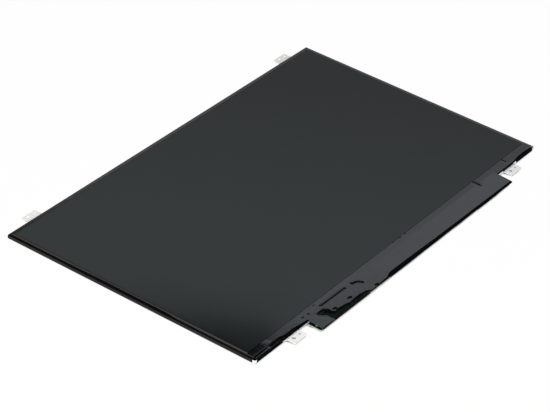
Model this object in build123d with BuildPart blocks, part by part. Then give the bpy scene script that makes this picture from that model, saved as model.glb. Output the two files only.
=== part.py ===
# Slim laptop screen panel: a liquid-crystal cell on an edge-lit backlight, in a folded rear cover,
# with its driver board flat along the lower edge.
# It lies on its back: +X runs to the right of the picture, +Y to its top and +Z out of the screen.
# The origin is at the middle of the panel's body, on the rear face. Sizes are in millimetres.

import os

from build123d import *

# Picture, and the borders round it to the body's outer faces, measured over the tapes
active_width = 309.4
active_height = 173.95
side_border = 5.5
upper_border = 4.0
lower_border = 8.05
body_corner = 1.0

# Sheet and layer thicknesses
cover_sheet = 0.3
dish_depth = 0.2  # the rear face stands this far behind the cover's border
reflector_thick = 0.2
guide_thick = 0.6
diffuser_thick = 0.1
prism_thick = 0.15
rim_tape_thick = 0.1
polariser_thick = 0.2
glass_thick = 0.5
tape_thick = 0.08
strip_thick = 0.12
driver_film_thick = 0.08
board_thick = 0.6

# Cell borders
glass_inset = 1.8  # side and upper edges of the glass, from the body's outer faces
array_low_inset = 0.8  # lower edge of the array glass, from the body's lower edge
bond_ledge = 2.2  # array glass left bare below the colour filter glass
tape_lap = 1.1  # edge tape on the glass
polariser_gap = 0.3  # bare glass between a tape and the front polariser
polariser_margin = 0.5  # front polariser below the picture
rear_polariser_inset = 0.5  # from the array glass edge

# Backlight
film_margin = 0.5  # sheets outside the picture
film_play = 0.15  # free height over the sheets
film_tab_width = 6.0
film_tab_reach = 1.3
film_tab_y = 45.0
guide_ear_width = 10.0
guide_ear_reach = 1.5
guide_ear_y = -50.0
guide_lead = 1.5  # light guide past the sheets, under the roof of the frame
led_count = 36
led_width = 3.8
led_depth = 1.0
led_height = 0.6
led_air = 0.05
led_window_width = 3.0
led_window_height = 0.4
led_window_depth = 0.15
strip_width = 4.4
strip_lap = 0.8  # flex on the light guide
tail_x = -38.0
tail_width = 6.0

# Rear cover
flange_over_array = 0.15
bend_radius = 0.35
dish_corner = 2.0
dish_bevel = 0.12
corner_relief = 0.45
ear_flange_gap = 3.3  # lower ear to the corner flange beside it, on the open lower side
window_length = 6.0
window_height = 0.6
window_rise = 0.55  # above the seat of the frame
side_hook_pitch = 55.0
side_hook_count = 3
top_hook_pitch = 66.0
top_hook_count = 4

# Fixing ears of the rear cover
upper_screw_inset = 25.2  # side of the body to the screw hole
lower_screw_inset = 35.2
upper_ear_reach = 7.1  # past the body's edge
lower_ear_reach = 6.5
upper_hole_reach = 4.9
lower_hole_reach = 2.8
ear_lead = 4.3  # side of an ear to its screw hole
ear_width = 13.3
pin_hole_pitch = 6.0
screw_hole_radius = 1.15
pin_hole_radius = 0.8
ear_level = 0.9  # underside of the ears
ear_run_in = 0.3
ear_jog_run = 0.7
ear_root = 1.0
ear_relief = 0.7
ear_corner = 1.0

# Tapes
rear_lap = 2.4  # edge tape on the back of the cover
shoulder_inset = 0.8  # edge tape runs flat past the glass to here before it turns down
bare_corner = 2.0  # the tape stops short of the lower left corner
closed_corner = 0.3
fold_reach = 0.3  # cover tape past the array glass before it falls
fold_lift = 0.06
free_edge_drop = 0.15
skirt_gap = 0.25  # hanging edge of the cover tape over the lower left ear
tongue_short = 1.8  # cover tape short of the board's left end
bare_edge = 0.3  # and of its bare low edge
edge_roll = 2.0  # cover tape turns down this far before the board's low edge
roll_lift = 0.45
wrap_gap = (52.6, 75.6)  # cover tape goes round the low edge but for here, from the board's left end
tear = [  # torn out of the cover tape: place from the board's left end and from the body's lower edge
    (11.0, 1.7),
    (13.3, 1.3),
    (16.5, 1.7),
    (18.1, 3.1),
    (18.3, 5.6),
    (21.0, 7.0),
    (30.6, 8.0),
    (34.4, 9.0),
    (45.8, 8.8),
    (50.7, 9.6),
    (52.6, 11.0),
    (52.6, 12.0),
    (14.6, 12.0),
    (15.2, 9.9),
    (14.7, 7.4),
    (14.8, 5.4),
    (12.9, 3.7),
]
slit_width = 0.9
slits = [(93.0, 6.6), (129.6, 3.9)]  # place along the tape, length from its upper edge

# Clearances
frame_play = 0.1
guide_play = 0.2
glass_play = 0.2
tab_play = 0.3
strip_play = 0.25
tail_play = 0.08
hook_play = 0.15
rim_margin = 0.1
slot_play = 0.02

# Mould frame
rim_start = 1.0  # rims beside the glass begin this far above the frame's lower edge
rim_tape_low = 3.0
hook_bite = 0.25
tail_slot_play = 0.4

# Driver board
board_length = 221.8
board_x = 2.3
board_gap = 1.3  # body's lower edge to the board
board_reach = 11.1  # body's lower edge to the board's low edge, over the tape
board_corner = 0.6
tooling_hole_radius = 0.75
tooling_hole_inset = 2.4

# Driver films
film_count = 3
film_pitch = 74.0
film_width = 24.0
film_start = 0.5  # bare ledge between the colour filter glass and a film
film_drop_start = 0.2
film_land = 0.6
film_bond = 2.3
chip_length = 16.0
chip_width = 1.0
chip_thick = 0.3

# Signal connector
signal_x = 84.0
signal_width = 26.0
signal_depth = 4.4
signal_height = 1.0
signal_shell = 0.12
signal_setback = 0.3  # mouth behind the board's low edge
signal_fit = 0.04
signal_back = 1.5
signal_post = 1.6
signal_tongue = 0.4
signal_tongue_short = 0.5
signal_foot = 0.8
signal_foot_length = 1.1
signal_pins = 40
signal_pitch = 0.5

# Contacts of both connectors
contact_width = 0.2
contact_thick = 0.08
contact_drop = 0.27  # board to the contact's near face
contact_short = 0.8
contact_tail = 0.7
contact_foot = 0.45

# Backlight connector
light_width = 9.4
light_depth = 3.4
light_setback = 0.8
light_floor = 0.6  # plastic under the slot
light_slot_depth = 2.3
light_roof = 0.05
light_pins = 8
light_pitch = 0.6

# Packaged chips on the rear of the board: place along the board, side, thickness
chip_packages = {
    "timing_controller": (50.0, 8.0, 0.85),
    "reference_voltage_chip": (24.0, 4.0, 0.75),
    "power_controller": (-2.0, 5.0, 0.75),
    "backlight_controller": (-53.0, 4.0, 0.75),
}
package_bevel = 0.08
mark_radius = 0.35
mark_depth = 0.06
mark_inset = 0.9

# Leaded parts
memory_x = 61.5
memory_size = (3.0, 4.4, 0.85)
memory_leads = 4  # on either side
memory_lead_pitch = 0.65
memory_lead_width = 0.25
lead_reach = 0.9
lead_thick = 0.15
lead_height = 0.4
diode_places = [-16.5, -67.5]
diode_size = (2.7, 1.6, 0.9)
diode_lead_width = 0.7

# Power inductors
inductor_places = [-10.5, -61.0]
inductor_side = 4.4
inductor_height = 0.95
inductor_corner = 0.7
inductor_core_radius = 1.75
inductor_core_depth = 0.2

# Chip capacitors and resistors: size and rows of (first place, count, pitch, rise from mid-board)
capacitor_size = (1.6, 0.8, 0.75)
capacitor_end = 0.3
capacitor_waist = 0.04
capacitor_rows = [
    (33.0, 5, 2.4, 3.3),
    (33.0, 5, 2.4, -3.2),
    (8.0, 5, 2.4, -3.0),
    (-30.0, 4, 2.4, -2.6),
]
output_capacitor_size = (3.2, 1.6, 0.95)
output_capacitor_end = 0.5
output_capacitor_rows = [
    (-74.5, 2, 4.2, 2.6),
    (-79.0, 2, 4.2, -2.4),
    (-22.5, 2, 4.2, 2.4),
]
resistor_size = (1.0, 0.5, 0.35)
resistor_end = 0.22
resistor_waist = 0.02
resistor_rows = [
    (32.0, 8, 1.6, 0.2),
    (8.0, 7, 1.6, 1.4),
    (-57.0, 4, 1.6, -3.6),
    (-92.0, 7, 1.6, 0.4),
]

# Levels above the rear face
border_level = dish_depth
seat_level = dish_depth + cover_sheet
guide_level = cover_sheet + reflector_thick
sheet_level = guide_level + guide_thick
lower_prism_level = sheet_level + diffuser_thick
upper_prism_level = lower_prism_level + prism_thick
upper_diffuser_level = upper_prism_level + prism_thick
ledge_level = upper_diffuser_level + diffuser_thick + film_play
rear_polariser_level = ledge_level + rim_tape_thick
array_level = rear_polariser_level + polariser_thick
filter_level = array_level + glass_thick
front_level = filter_level + glass_thick
flange_level = array_level + flange_over_array
strip_top = sheet_level + strip_thick
roof_level = strip_top + tail_play
board_level = strip_top + tail_play
board_top = board_level + board_thick

# Edges across and along the body
body_width = active_width + 2 * side_border
body_height = active_height + upper_border + lower_border
half_width = body_width / 2
half_height = body_height / 2
cover_x = half_width - tape_thick
cover_y = half_height - tape_thick
frame_x = cover_x - cover_sheet - frame_play
frame_y = cover_y - cover_sheet - frame_play
glass_x = half_width - glass_inset
glass_top = half_height - glass_inset
array_low = array_low_inset - half_height
filter_low = array_low + bond_ledge
active_top = half_height - upper_border
active_low = active_top - active_height
sheet_x = active_width / 2 + film_margin
sheet_top = active_top + film_margin
sheet_low = active_low - film_margin
opening_x = sheet_x + guide_play
opening_top = sheet_top + guide_play
opening_low = sheet_low - guide_play
guide_low = sheet_low - guide_lead
strip_high = guide_low + strip_lap
strip_low = strip_high - strip_width
wall_inside = strip_low - strip_play
dish_low = strip_low - guide_play
front_polariser_x = glass_x - tape_lap - polariser_gap
front_polariser_top = glass_top - tape_lap - polariser_gap
front_polariser_low = active_low - polariser_margin
tape_edge = front_polariser_low - polariser_gap
upper_screw_x = half_width - upper_screw_inset
lower_screw_x = half_width - lower_screw_inset
step_left = -lower_screw_x - ear_lead - ear_flange_gap
step_right = lower_screw_x - ear_lead + ear_width + ear_flange_gap
board_high = -half_height - board_gap
board_low = tape_thick - half_height - board_reach
board_middle = (board_high + board_low) / 2
board_left = board_x - board_length / 2
board_right = board_x + board_length / 2
led_pitch = active_width / led_count

# Ears: screw hole place, side of the body, hole and end of the ear past the body's edge
ears = [
    (-upper_screw_x, 1, upper_hole_reach, upper_ear_reach),
    (upper_screw_x, 1, upper_hole_reach, upper_ear_reach),
    (-lower_screw_x, -1, lower_hole_reach, lower_ear_reach),
    (lower_screw_x, -1, lower_hole_reach, lower_ear_reach),
]

# Places of the snap hooks on the left and right sides and on the top
side_hooks = [(i - (side_hook_count - 1) / 2) * side_hook_pitch for i in range(side_hook_count)]
top_hooks = [(i - (top_hook_count - 1) / 2) * top_hook_pitch for i in range(top_hook_count)]

os.makedirs("parts", exist_ok=True)


def block(x_low, x_high, y_low, y_high, z_low, z_high, mode=Mode.ADD):
    with Locations(((x_low + x_high) / 2, (y_low + y_high) / 2, (z_low + z_high) / 2)):
        Box(x_high - x_low, y_high - y_low, z_high - z_low, mode=mode)


def plate(half_x, y_low, y_high, level, thick, mode=Mode.ADD):
    block(-half_x, half_x, y_low, y_high, level, level + thick, mode)


def rounded_prism(half_x, half_y, corner, level, thick, mode=Mode.ADD):
    with BuildSketch(Plane.XY.offset(level)) as outline:
        RectangleRounded(2 * half_x, 2 * half_y, corner)
    extrude(outline.sketch, amount=thick, mode=mode)


def folded_strip(points, side, thick):
    with BuildLine() as outline:
        Polyline(points)
        offset(amount=thick, side=side, kind=Kind.INTERSECTION)
    make_face(outline.edges())


def slab(points, level_low, level_high, mode=Mode.ADD):
    with BuildSketch(Plane.XY.offset(level_low)) as outline:
        Polygon(*points, align=None)
    extrude(outline.sketch, amount=level_high - level_low, mode=mode)


# Rear cover: a shallow dished sheet with flanges on three sides and fixing ears that step forward
with BuildPart() as rear_cover:
    rounded_prism(cover_x, cover_y, body_corner, border_level, flange_level - border_level)
    fillet(rear_cover.faces().sort_by(Axis.Z)[0].edges(), bend_radius)
    inside_x = cover_x - cover_sheet
    inside_y = cover_y - cover_sheet
    rounded_prism(inside_x, inside_y, body_corner - cover_sheet, seat_level, flange_level, Mode.SUBTRACT)
    with Locations((0, 0, flange_level)):
        with GridLocations(2 * cover_x, 2 * cover_y, 2, 2):
            Box(
                2 * corner_relief,
                2 * corner_relief,
                2 * (flange_level - seat_level),
                mode=Mode.SUBTRACT,
            )
    block(step_left, board_right, -half_height, -inside_y, seat_level, front_level, Mode.SUBTRACT)
    block(board_right, step_right, -half_height, -inside_y, ledge_level, front_level, Mode.SUBTRACT)
    dish_height = opening_top - dish_low
    dish_y = (opening_top + dish_low) / 2
    with BuildSketch(Plane.XY.offset(border_level)):
        with Locations((0, dish_y)):
            RectangleRounded(2 * opening_x, dish_height, dish_corner)
    extrude(amount=cover_sheet, mode=Mode.SUBTRACT)
    with BuildSketch():
        with Locations((0, dish_y)):
            RectangleRounded(
                2 * (opening_x + cover_sheet), dish_height + 2 * cover_sheet, dish_corner + cover_sheet
            )
    extrude(amount=cover_sheet)
    chamfer(rear_cover.faces().sort_by(Axis.Z)[0].edges(), dish_bevel)
    for hook_y in side_hooks:
        with Locations((0, hook_y, seat_level + window_rise)):
            Box(
                body_width,
                window_length,
                window_height,
                align=(Align.CENTER, Align.CENTER, Align.MIN),
                mode=Mode.SUBTRACT,
            )
    for hook_x in top_hooks:
        with Locations((hook_x, cover_y, seat_level + window_rise)):
            Box(
                window_length,
                4 * cover_sheet,
                window_height,
                align=(Align.CENTER, Align.CENTER, Align.MIN),
                mode=Mode.SUBTRACT,
            )
    for screw_x, side, hole_reach, reach in ears:
        ear_left = screw_x - ear_lead
        edge = side * cover_y
        end = side * (half_height + reach)
        cut_from = sorted((edge - side * cover_sheet, edge + side * cover_sheet))
        block(
            ear_left - ear_relief,
            ear_left + ear_width + ear_relief,
            *cut_from,
            seat_level,
            front_level,
            Mode.SUBTRACT,
        )
        path = [
            (edge - side * ear_root, border_level),
            (edge + side * ear_run_in, border_level),
            (edge + side * (ear_run_in + ear_jog_run), ear_level),
            (end, ear_level),
        ]
        with BuildSketch(Plane.YZ.offset(ear_left)):
            folded_strip(path, Side.LEFT if side > 0 else Side.RIGHT, cover_sheet)
        extrude(amount=ear_width)
        hole_y = side * (half_height + hole_reach)
        with Locations((screw_x, hole_y, ear_level + cover_sheet)):
            Hole(screw_hole_radius, depth=cover_sheet)
        with Locations((screw_x + pin_hole_pitch, hole_y, ear_level + cover_sheet)):
            Hole(pin_hole_radius, depth=cover_sheet)
    upright = rear_cover.edges().filter_by(Axis.Z).sort_by(Axis.Y)
    fillet(upright[:4] + upright[-4:], ear_corner)
rear_cover.part.label = "rear_cover"
export_step(rear_cover.part, "parts/rear_cover.step")

# Mould frame: the plastic ring that carries the sheets and the cell, with a roof over the lamps
with BuildPart() as mould_frame:
    frame_corner = body_corner - cover_sheet - frame_play
    rounded_prism(frame_x, frame_y, frame_corner, seat_level, flange_level - seat_level)
    cell_x = glass_x + glass_play
    cell_top = glass_top + glass_play
    plate(cell_x, -half_height, cell_top, ledge_level, flange_level, Mode.SUBTRACT)
    plate(half_width, -half_height, rim_start - frame_y, ledge_level, flange_level, Mode.SUBTRACT)
    plate(opening_x, wall_inside, opening_top, seat_level, ledge_level, Mode.SUBTRACT)
    plate(opening_x, wall_inside, opening_low, roof_level, ledge_level - roof_level)
    for side_x in (-1, 1):
        tab_pocket = sorted((0, side_x * (sheet_x + film_tab_reach + tab_play)))
        tab_half = film_tab_width / 2 + tab_play
        block(
            *tab_pocket,
            film_tab_y - tab_half,
            film_tab_y + tab_half,
            sheet_level - tab_play,
            ledge_level,
            Mode.SUBTRACT,
        )
        ear_pocket = sorted((0, side_x * (sheet_x + guide_ear_reach + tab_play)))
        ear_half = guide_ear_width / 2 + tab_play
        block(
            *ear_pocket,
            guide_ear_y - ear_half,
            guide_ear_y + ear_half,
            seat_level,
            sheet_level + tab_play,
            Mode.SUBTRACT,
        )
    block(
        tail_x - tail_width / 2 - tail_slot_play,
        tail_x + tail_width / 2 + tail_slot_play,
        -frame_y,
        wall_inside,
        sheet_level - tail_play,
        roof_level,
        Mode.SUBTRACT,
    )
    hook_low = seat_level + window_rise + hook_play
    hook_high = seat_level + window_rise + window_height - hook_play
    hook_half = window_length / 2 - hook_play
    bite = frame_play + hook_bite
    for hook_y in side_hooks:
        for side_x in (-1, 1):
            with BuildSketch(Plane.XZ.offset(-hook_y)):
                wall = side_x * frame_x
                Polygon((wall, hook_low), (wall, hook_high), (wall + side_x * bite, hook_high), align=None)
            extrude(amount=hook_half, both=True)
    for hook_x in top_hooks:
        with BuildSketch(Plane.YZ.offset(hook_x)):
            Polygon((frame_y, hook_low), (frame_y, hook_high), (frame_y + bite, hook_high), align=None)
        extrude(amount=hook_half, both=True)
mould_frame.part.label = "mould_frame"
export_step(mould_frame.part, "parts/mould_frame.step")

# Reflector in the dish, under the light guide and the lamps
with BuildPart() as reflector_sheet:
    with BuildSketch(Plane.XY.offset(cover_sheet)):
        with Locations((0, (sheet_top + strip_low) / 2)):
            RectangleRounded(2 * sheet_x, sheet_top - strip_low, dish_corner)
    extrude(amount=reflector_thick)
reflector_sheet.part.label = "reflector_sheet"
export_step(reflector_sheet.part, "parts/reflector_sheet.step")

# Light guide with its two locating ears
with BuildPart() as light_guide_plate:
    plate(sheet_x, guide_low, sheet_top, guide_level, guide_thick)
    with Locations((0, guide_ear_y, guide_level + guide_thick / 2)):
        Box(2 * (sheet_x + guide_ear_reach), guide_ear_width, guide_thick)
light_guide_plate.part.label = "light_guide_plate"
export_step(light_guide_plate.part, "parts/light_guide_plate.step")

# Lamp strip: a flex over the lamps, with a tail out to the board
light_mouth = board_high - light_setback
tail_end = light_mouth - light_slot_depth + tail_play
with BuildPart() as led_strip:
    plate(sheet_x, strip_low, strip_high, sheet_level, strip_thick)
    block(tail_x - tail_width / 2, tail_x + tail_width / 2, tail_end, strip_low, sheet_level, strip_top)
led_strip.part.label = "led_strip"
export_step(led_strip.part, "parts/led_strip.step")

# Lamps, each with its window towards the light guide
with BuildPart() as led_packages:
    led_front = guide_low - led_air
    with Locations((0, led_front - led_depth / 2, sheet_level - led_height / 2)):
        with GridLocations(led_pitch, 0, led_count, 1):
            Box(led_width, led_depth, led_height)
    with Locations((0, led_front, sheet_level - led_height / 2)):
        with GridLocations(led_pitch, 0, led_count, 1):
            Box(led_window_width, 2 * led_window_depth, led_window_height, mode=Mode.SUBTRACT)
led_packages.part.label = "led_packages"
export_step(led_packages.part, "parts/led_packages.step")

# Diffusers and prism sheets, each with a tab at either side
sheets = {
    "lower_diffuser": (sheet_level, diffuser_thick),
    "lower_prism_sheet": (lower_prism_level, prism_thick),
    "upper_prism_sheet": (upper_prism_level, prism_thick),
    "upper_diffuser": (upper_diffuser_level, diffuser_thick),
}
for sheet_name, (level, thick) in sheets.items():
    with BuildPart() as optical_sheet:
        plate(sheet_x, sheet_low, sheet_top, level, thick)
        with Locations((0, film_tab_y, level + thick / 2)):
            Box(2 * (sheet_x + film_tab_reach), film_tab_width, thick)
    optical_sheet.part.label = sheet_name
    export_step(optical_sheet.part, f"parts/{sheet_name}.step")

# Rim tape on the ledge of the frame
rear_polariser_x = glass_x - rear_polariser_inset
rear_polariser_top = glass_top - rear_polariser_inset
rear_polariser_low = array_low + rear_polariser_inset
with BuildPart() as rim_tape:
    rim_low = opening_low - rim_margin
    plate(
        rear_polariser_x - rim_margin,
        rim_low - rim_tape_low,
        rear_polariser_top - rim_margin,
        ledge_level,
        rim_tape_thick,
    )
    rim_high = opening_top + rim_margin
    plate(opening_x + rim_margin, rim_low, rim_high, ledge_level, rim_tape_thick, Mode.SUBTRACT)
rim_tape.part.label = "rim_tape"
export_step(rim_tape.part, "parts/rim_tape.step")

# Cell: rear polariser, array glass, colour filter glass and front polariser
with BuildPart() as rear_polariser:
    plate(rear_polariser_x, rear_polariser_low, rear_polariser_top, rear_polariser_level, polariser_thick)
rear_polariser.part.label = "rear_polariser"
export_step(rear_polariser.part, "parts/rear_polariser.step")

with BuildPart() as array_glass:
    plate(glass_x, array_low, glass_top, array_level, glass_thick)
array_glass.part.label = "array_glass"
export_step(array_glass.part, "parts/array_glass.step")

with BuildPart() as colour_filter_glass:
    plate(glass_x, filter_low, glass_top, filter_level, glass_thick)
colour_filter_glass.part.label = "colour_filter_glass"
export_step(colour_filter_glass.part, "parts/colour_filter_glass.step")

with BuildPart() as front_polariser:
    plate(front_polariser_x, front_polariser_low, front_polariser_top, front_level, polariser_thick)
front_polariser.part.label = "front_polariser"
export_step(front_polariser.part, "parts/front_polariser.step")

# Driver films from the bare ledge of the array glass down to the board, each with its long chip below
film_high = filter_low - film_start
film_fall = array_low - film_drop_start
film_touch = board_high - film_land
film_path = [
    (film_high, filter_level),
    (film_fall, filter_level),
    (film_touch, board_top),
    (film_touch - film_bond, board_top),
]
slope = Vector(0, film_touch - film_fall, board_top - filter_level).normalized()
chip_plane = Plane(
    origin=(0, (film_fall + film_touch) / 2, (filter_level + board_top) / 2),
    x_dir=(1, 0, 0),
    z_dir=slope.cross(Vector(1, 0, 0)),
)
for i in range(film_count):
    film_x = board_x + (i - (film_count - 1) / 2) * film_pitch
    with BuildPart() as driver_film:
        with BuildSketch(Plane.YZ.offset(film_x)):
            folded_strip(film_path, Side.RIGHT, driver_film_thick)
        extrude(amount=film_width / 2, both=True)
    driver_film.part.label = f"driver_film_{i + 1}"
    export_step(driver_film.part, f"parts/driver_film_{i + 1}.step")

    with BuildPart(chip_plane) as driver_chip:
        with Locations((film_x, 0, 0)):
            Box(chip_length, chip_width, chip_thick, align=(Align.CENTER, Align.CENTER, Align.MAX))
    driver_chip.part.label = f"driver_chip_{i + 1}"
    export_step(driver_chip.part, f"parts/driver_chip_{i + 1}.step")

# Driver board
with BuildPart() as circuit_board:
    with BuildSketch(Plane.XY.offset(board_level)):
        with Locations((board_x, board_middle)):
            Rectangle(board_length, board_high - board_low)
            with GridLocations(board_length - 2 * tooling_hole_inset, 0, 2, 1):
                Circle(tooling_hole_radius, mode=Mode.SUBTRACT)
    extrude(amount=board_thick)
    chamfer(
        circuit_board.edges().filter_by(Axis.Z).filter_by(GeomType.LINE).sort_by(Axis.Y)[:2], board_corner
    )
circuit_board.part.label = "circuit_board"
export_step(circuit_board.part, "parts/circuit_board.step")

# Signal connector under the board, its mouth at the board's low edge
signal_mouth = board_low + signal_setback
signal_rear = signal_mouth + signal_depth
signal_under = board_level - signal_height
signal_half = signal_width / 2
with BuildPart() as signal_connector_shell:
    block(
        signal_x - signal_half,
        signal_x + signal_half,
        signal_mouth,
        signal_rear,
        signal_under,
        board_level,
    )
    block(
        signal_x - signal_half + signal_shell,
        signal_x + signal_half - signal_shell,
        signal_mouth,
        signal_rear,
        signal_under + signal_shell,
        board_level,
        Mode.SUBTRACT,
    )
    foot_x = signal_half + signal_foot / 2
    foot_y = signal_depth / 2 - signal_foot_length
    with Locations((signal_x, (signal_mouth + signal_rear) / 2, board_level)):
        with GridLocations(2 * foot_x, 2 * foot_y, 2, 2):
            Box(
                signal_foot,
                signal_foot_length,
                signal_shell,
                align=(Align.CENTER, Align.CENTER, Align.MAX),
            )
signal_connector_shell.part.label = "signal_connector_shell"
export_step(signal_connector_shell.part, "parts/signal_connector_shell.step")

contact_level = board_level - contact_drop - contact_thick
signal_inside = signal_half - signal_shell - signal_fit
signal_floor = signal_under + signal_shell + signal_fit
with BuildPart() as signal_connector_body:
    block(
        signal_x - signal_inside,
        signal_x + signal_inside,
        signal_rear - signal_back,
        signal_rear,
        signal_floor,
        board_level,
    )
    for side in (-1, 1):
        post = sorted((signal_x + side * (signal_inside - signal_post), signal_x + side * signal_inside))
        block(*post, signal_mouth + signal_fit, signal_rear, signal_floor, board_level)
    block(
        signal_x - signal_inside,
        signal_x + signal_inside,
        signal_mouth + signal_tongue_short,
        signal_rear,
        contact_level - signal_tongue,
        contact_level,
    )
    with Locations((signal_x, signal_rear, contact_level)):
        with GridLocations(signal_pitch, 0, signal_pins, 1):
            Box(
                contact_width + 2 * slot_play,
                2 * signal_back,
                contact_thick + slot_play,
                align=(Align.CENTER, Align.CENTER, Align.MIN),
                mode=Mode.SUBTRACT,
            )
signal_connector_body.part.label = "signal_connector_body"
export_step(signal_connector_body.part, "parts/signal_connector_body.step")


def contact_outline(tip, rear, direction):
    end = rear + direction * contact_tail
    return [
        (tip, contact_level),
        (end, contact_level),
        (end, board_level),
        (end - direction * contact_foot, board_level),
        (end - direction * contact_foot, contact_level + contact_thick),
        (tip, contact_level + contact_thick),
    ]


with BuildPart() as signal_connector_contacts:
    for pin in range(signal_pins):
        pin_x = signal_x + (pin - (signal_pins - 1) / 2) * signal_pitch
        with BuildSketch(Plane.YZ.offset(pin_x)):
            Polygon(*contact_outline(signal_mouth + contact_short, signal_rear, 1), align=None)
        extrude(amount=contact_width / 2, both=True)
signal_connector_contacts.part.label = "signal_connector_contacts"
export_step(signal_connector_contacts.part, "parts/signal_connector_contacts.step")

# Backlight connector under the board: the tail of the lamp strip goes into its slot
light_rear = light_mouth - light_depth
light_half = light_width / 2
with BuildPart() as backlight_connector:
    block(
        tail_x - light_half,
        tail_x + light_half,
        light_rear,
        light_mouth,
        contact_level - light_floor,
        board_level,
    )
    block(
        tail_x - tail_width / 2 - tail_play,
        tail_x + tail_width / 2 + tail_play,
        light_mouth - light_slot_depth,
        light_mouth,
        contact_level,
        board_level - light_roof,
        Mode.SUBTRACT,
    )
    with Locations((tail_x, light_rear, contact_level)):
        with GridLocations(light_pitch, 0, light_pins, 1):
            Box(
                contact_width + 2 * slot_play,
                2 * light_depth,
                contact_thick + slot_play,
                align=(Align.CENTER, Align.CENTER, Align.MIN),
                mode=Mode.SUBTRACT,
            )
backlight_connector.part.label = "backlight_connector"
export_step(backlight_connector.part, "parts/backlight_connector.step")

with BuildPart() as backlight_contacts:
    for pin in range(light_pins):
        pin_x = tail_x + (pin - (light_pins - 1) / 2) * light_pitch
        with BuildSketch(Plane.YZ.offset(pin_x)):
            Polygon(*contact_outline(light_mouth - contact_short, light_rear, -1), align=None)
        extrude(amount=contact_width / 2, both=True)
backlight_contacts.part.label = "backlight_contacts"
export_step(backlight_contacts.part, "parts/backlight_contacts.step")

# Flat chips on the rear of the board, with a bevelled rim and a dot by the first pin
for chip_name, (chip_x, side, thick) in chip_packages.items():
    with BuildPart() as package:
        with Locations((chip_x, board_middle, board_level)):
            Box(side, side, thick, align=(Align.CENTER, Align.CENTER, Align.MAX))
        chamfer(package.faces().sort_by(Axis.Z)[0].edges(), package_bevel)
        mark = side / 2 - mark_inset
        with BuildSketch(Plane.XY.offset(board_level - thick)):
            with Locations((chip_x + mark, board_middle + mark)):
                Circle(mark_radius)
        extrude(amount=mark_depth, mode=Mode.SUBTRACT)
    package.part.label = chip_name
    export_step(package.part, f"parts/{chip_name}.step")


def lead_outline(body_face, direction):
    foot_end = body_face + direction * lead_reach
    shank = body_face + direction * lead_reach / 2
    return [
        (body_face, board_level - lead_height),
        (shank, board_level - lead_height),
        (shank, board_level - lead_thick),
        (foot_end, board_level - lead_thick),
        (foot_end, board_level),
        (shank - direction * lead_thick, board_level),
        (shank - direction * lead_thick, board_level - lead_height + lead_thick),
        (body_face, board_level - lead_height + lead_thick),
    ]


# Memory chip with bent leads along two sides
memory_width, memory_length, memory_thick = memory_size
with BuildPart() as memory_chip:
    with Locations((memory_x, board_middle, board_level - lead_thick / 2)):
        Box(
            memory_width,
            memory_length,
            memory_thick - lead_thick / 2,
            align=(Align.CENTER, Align.CENTER, Align.MAX),
        )
    chamfer(memory_chip.faces().sort_by(Axis.Z)[0].edges(), package_bevel)
    for lead in range(memory_leads):
        lead_x = memory_x + (lead - (memory_leads - 1) / 2) * memory_lead_pitch
        for direction in (-1, 1):
            with BuildSketch(Plane.YZ.offset(lead_x)):
                Polygon(*lead_outline(board_middle + direction * memory_length / 2, direction), align=None)
            extrude(amount=memory_lead_width / 2, both=True)
memory_chip.part.label = "memory_chip"
export_step(memory_chip.part, "parts/memory_chip.step")

# Rectifier diodes, a lead at either end
diode_length, diode_width, diode_thick = diode_size
with BuildPart() as diodes:
    for diode_x in diode_places:
        with Locations((diode_x, board_middle, board_level - lead_thick / 2)):
            Box(
                diode_width,
                diode_length,
                diode_thick - lead_thick / 2,
                align=(Align.CENTER, Align.CENTER, Align.MAX),
            )
        for direction in (-1, 1):
            with BuildSketch(Plane.YZ.offset(diode_x)):
                Polygon(*lead_outline(board_middle + direction * diode_length / 2, direction), align=None)
            extrude(amount=diode_lead_width / 2, both=True)
diodes.part.label = "diodes"
export_step(diodes.part, "parts/diodes.step")

# Shielded power inductors with a round core sunk in the shield
with BuildPart() as power_inductors:
    with BuildSketch(Plane.XY.offset(board_level - inductor_height)):
        for inductor_x in inductor_places:
            with Locations((inductor_x, board_middle)):
                RectangleRounded(inductor_side, inductor_side, inductor_corner)
    extrude(amount=inductor_height)
    with BuildSketch(Plane.XY.offset(board_level - inductor_height)):
        for inductor_x in inductor_places:
            with Locations((inductor_x, board_middle)):
                Circle(inductor_core_radius)
                Circle(inductor_core_radius - inductor_core_depth, mode=Mode.SUBTRACT)
    extrude(amount=inductor_core_depth, mode=Mode.SUBTRACT)
power_inductors.part.label = "power_inductors"
export_step(power_inductors.part, "parts/power_inductors.step")


def chip_row(places, size, end, waist):
    length, width, thick = size
    up = (Align.CENTER, Align.CENTER, Align.MAX)
    for first, count, pitch, rise in places:
        for i in range(count):
            with Locations((first + i * pitch, board_middle + rise, board_level)):
                Box(width - 2 * waist, length - 2 * end, thick - waist, align=up)
                with GridLocations(0, length - end, 1, 2):
                    Box(width, end, thick, align=up)


# Chip capacitors and resistors, their metal end caps a little proud of the waist
with BuildPart() as ceramic_capacitors:
    chip_row(capacitor_rows, capacitor_size, capacitor_end, capacitor_waist)
ceramic_capacitors.part.label = "ceramic_capacitors"
export_step(ceramic_capacitors.part, "parts/ceramic_capacitors.step")

with BuildPart() as output_capacitors:
    chip_row(output_capacitor_rows, output_capacitor_size, output_capacitor_end, capacitor_waist)
output_capacitors.part.label = "output_capacitors"
export_step(output_capacitors.part, "parts/output_capacitors.step")

with BuildPart() as chip_resistors:
    chip_row(resistor_rows, resistor_size, resistor_end, resistor_waist)
chip_resistors.part.label = "chip_resistors"
export_step(chip_resistors.part, "parts/chip_resistors.step")

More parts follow.
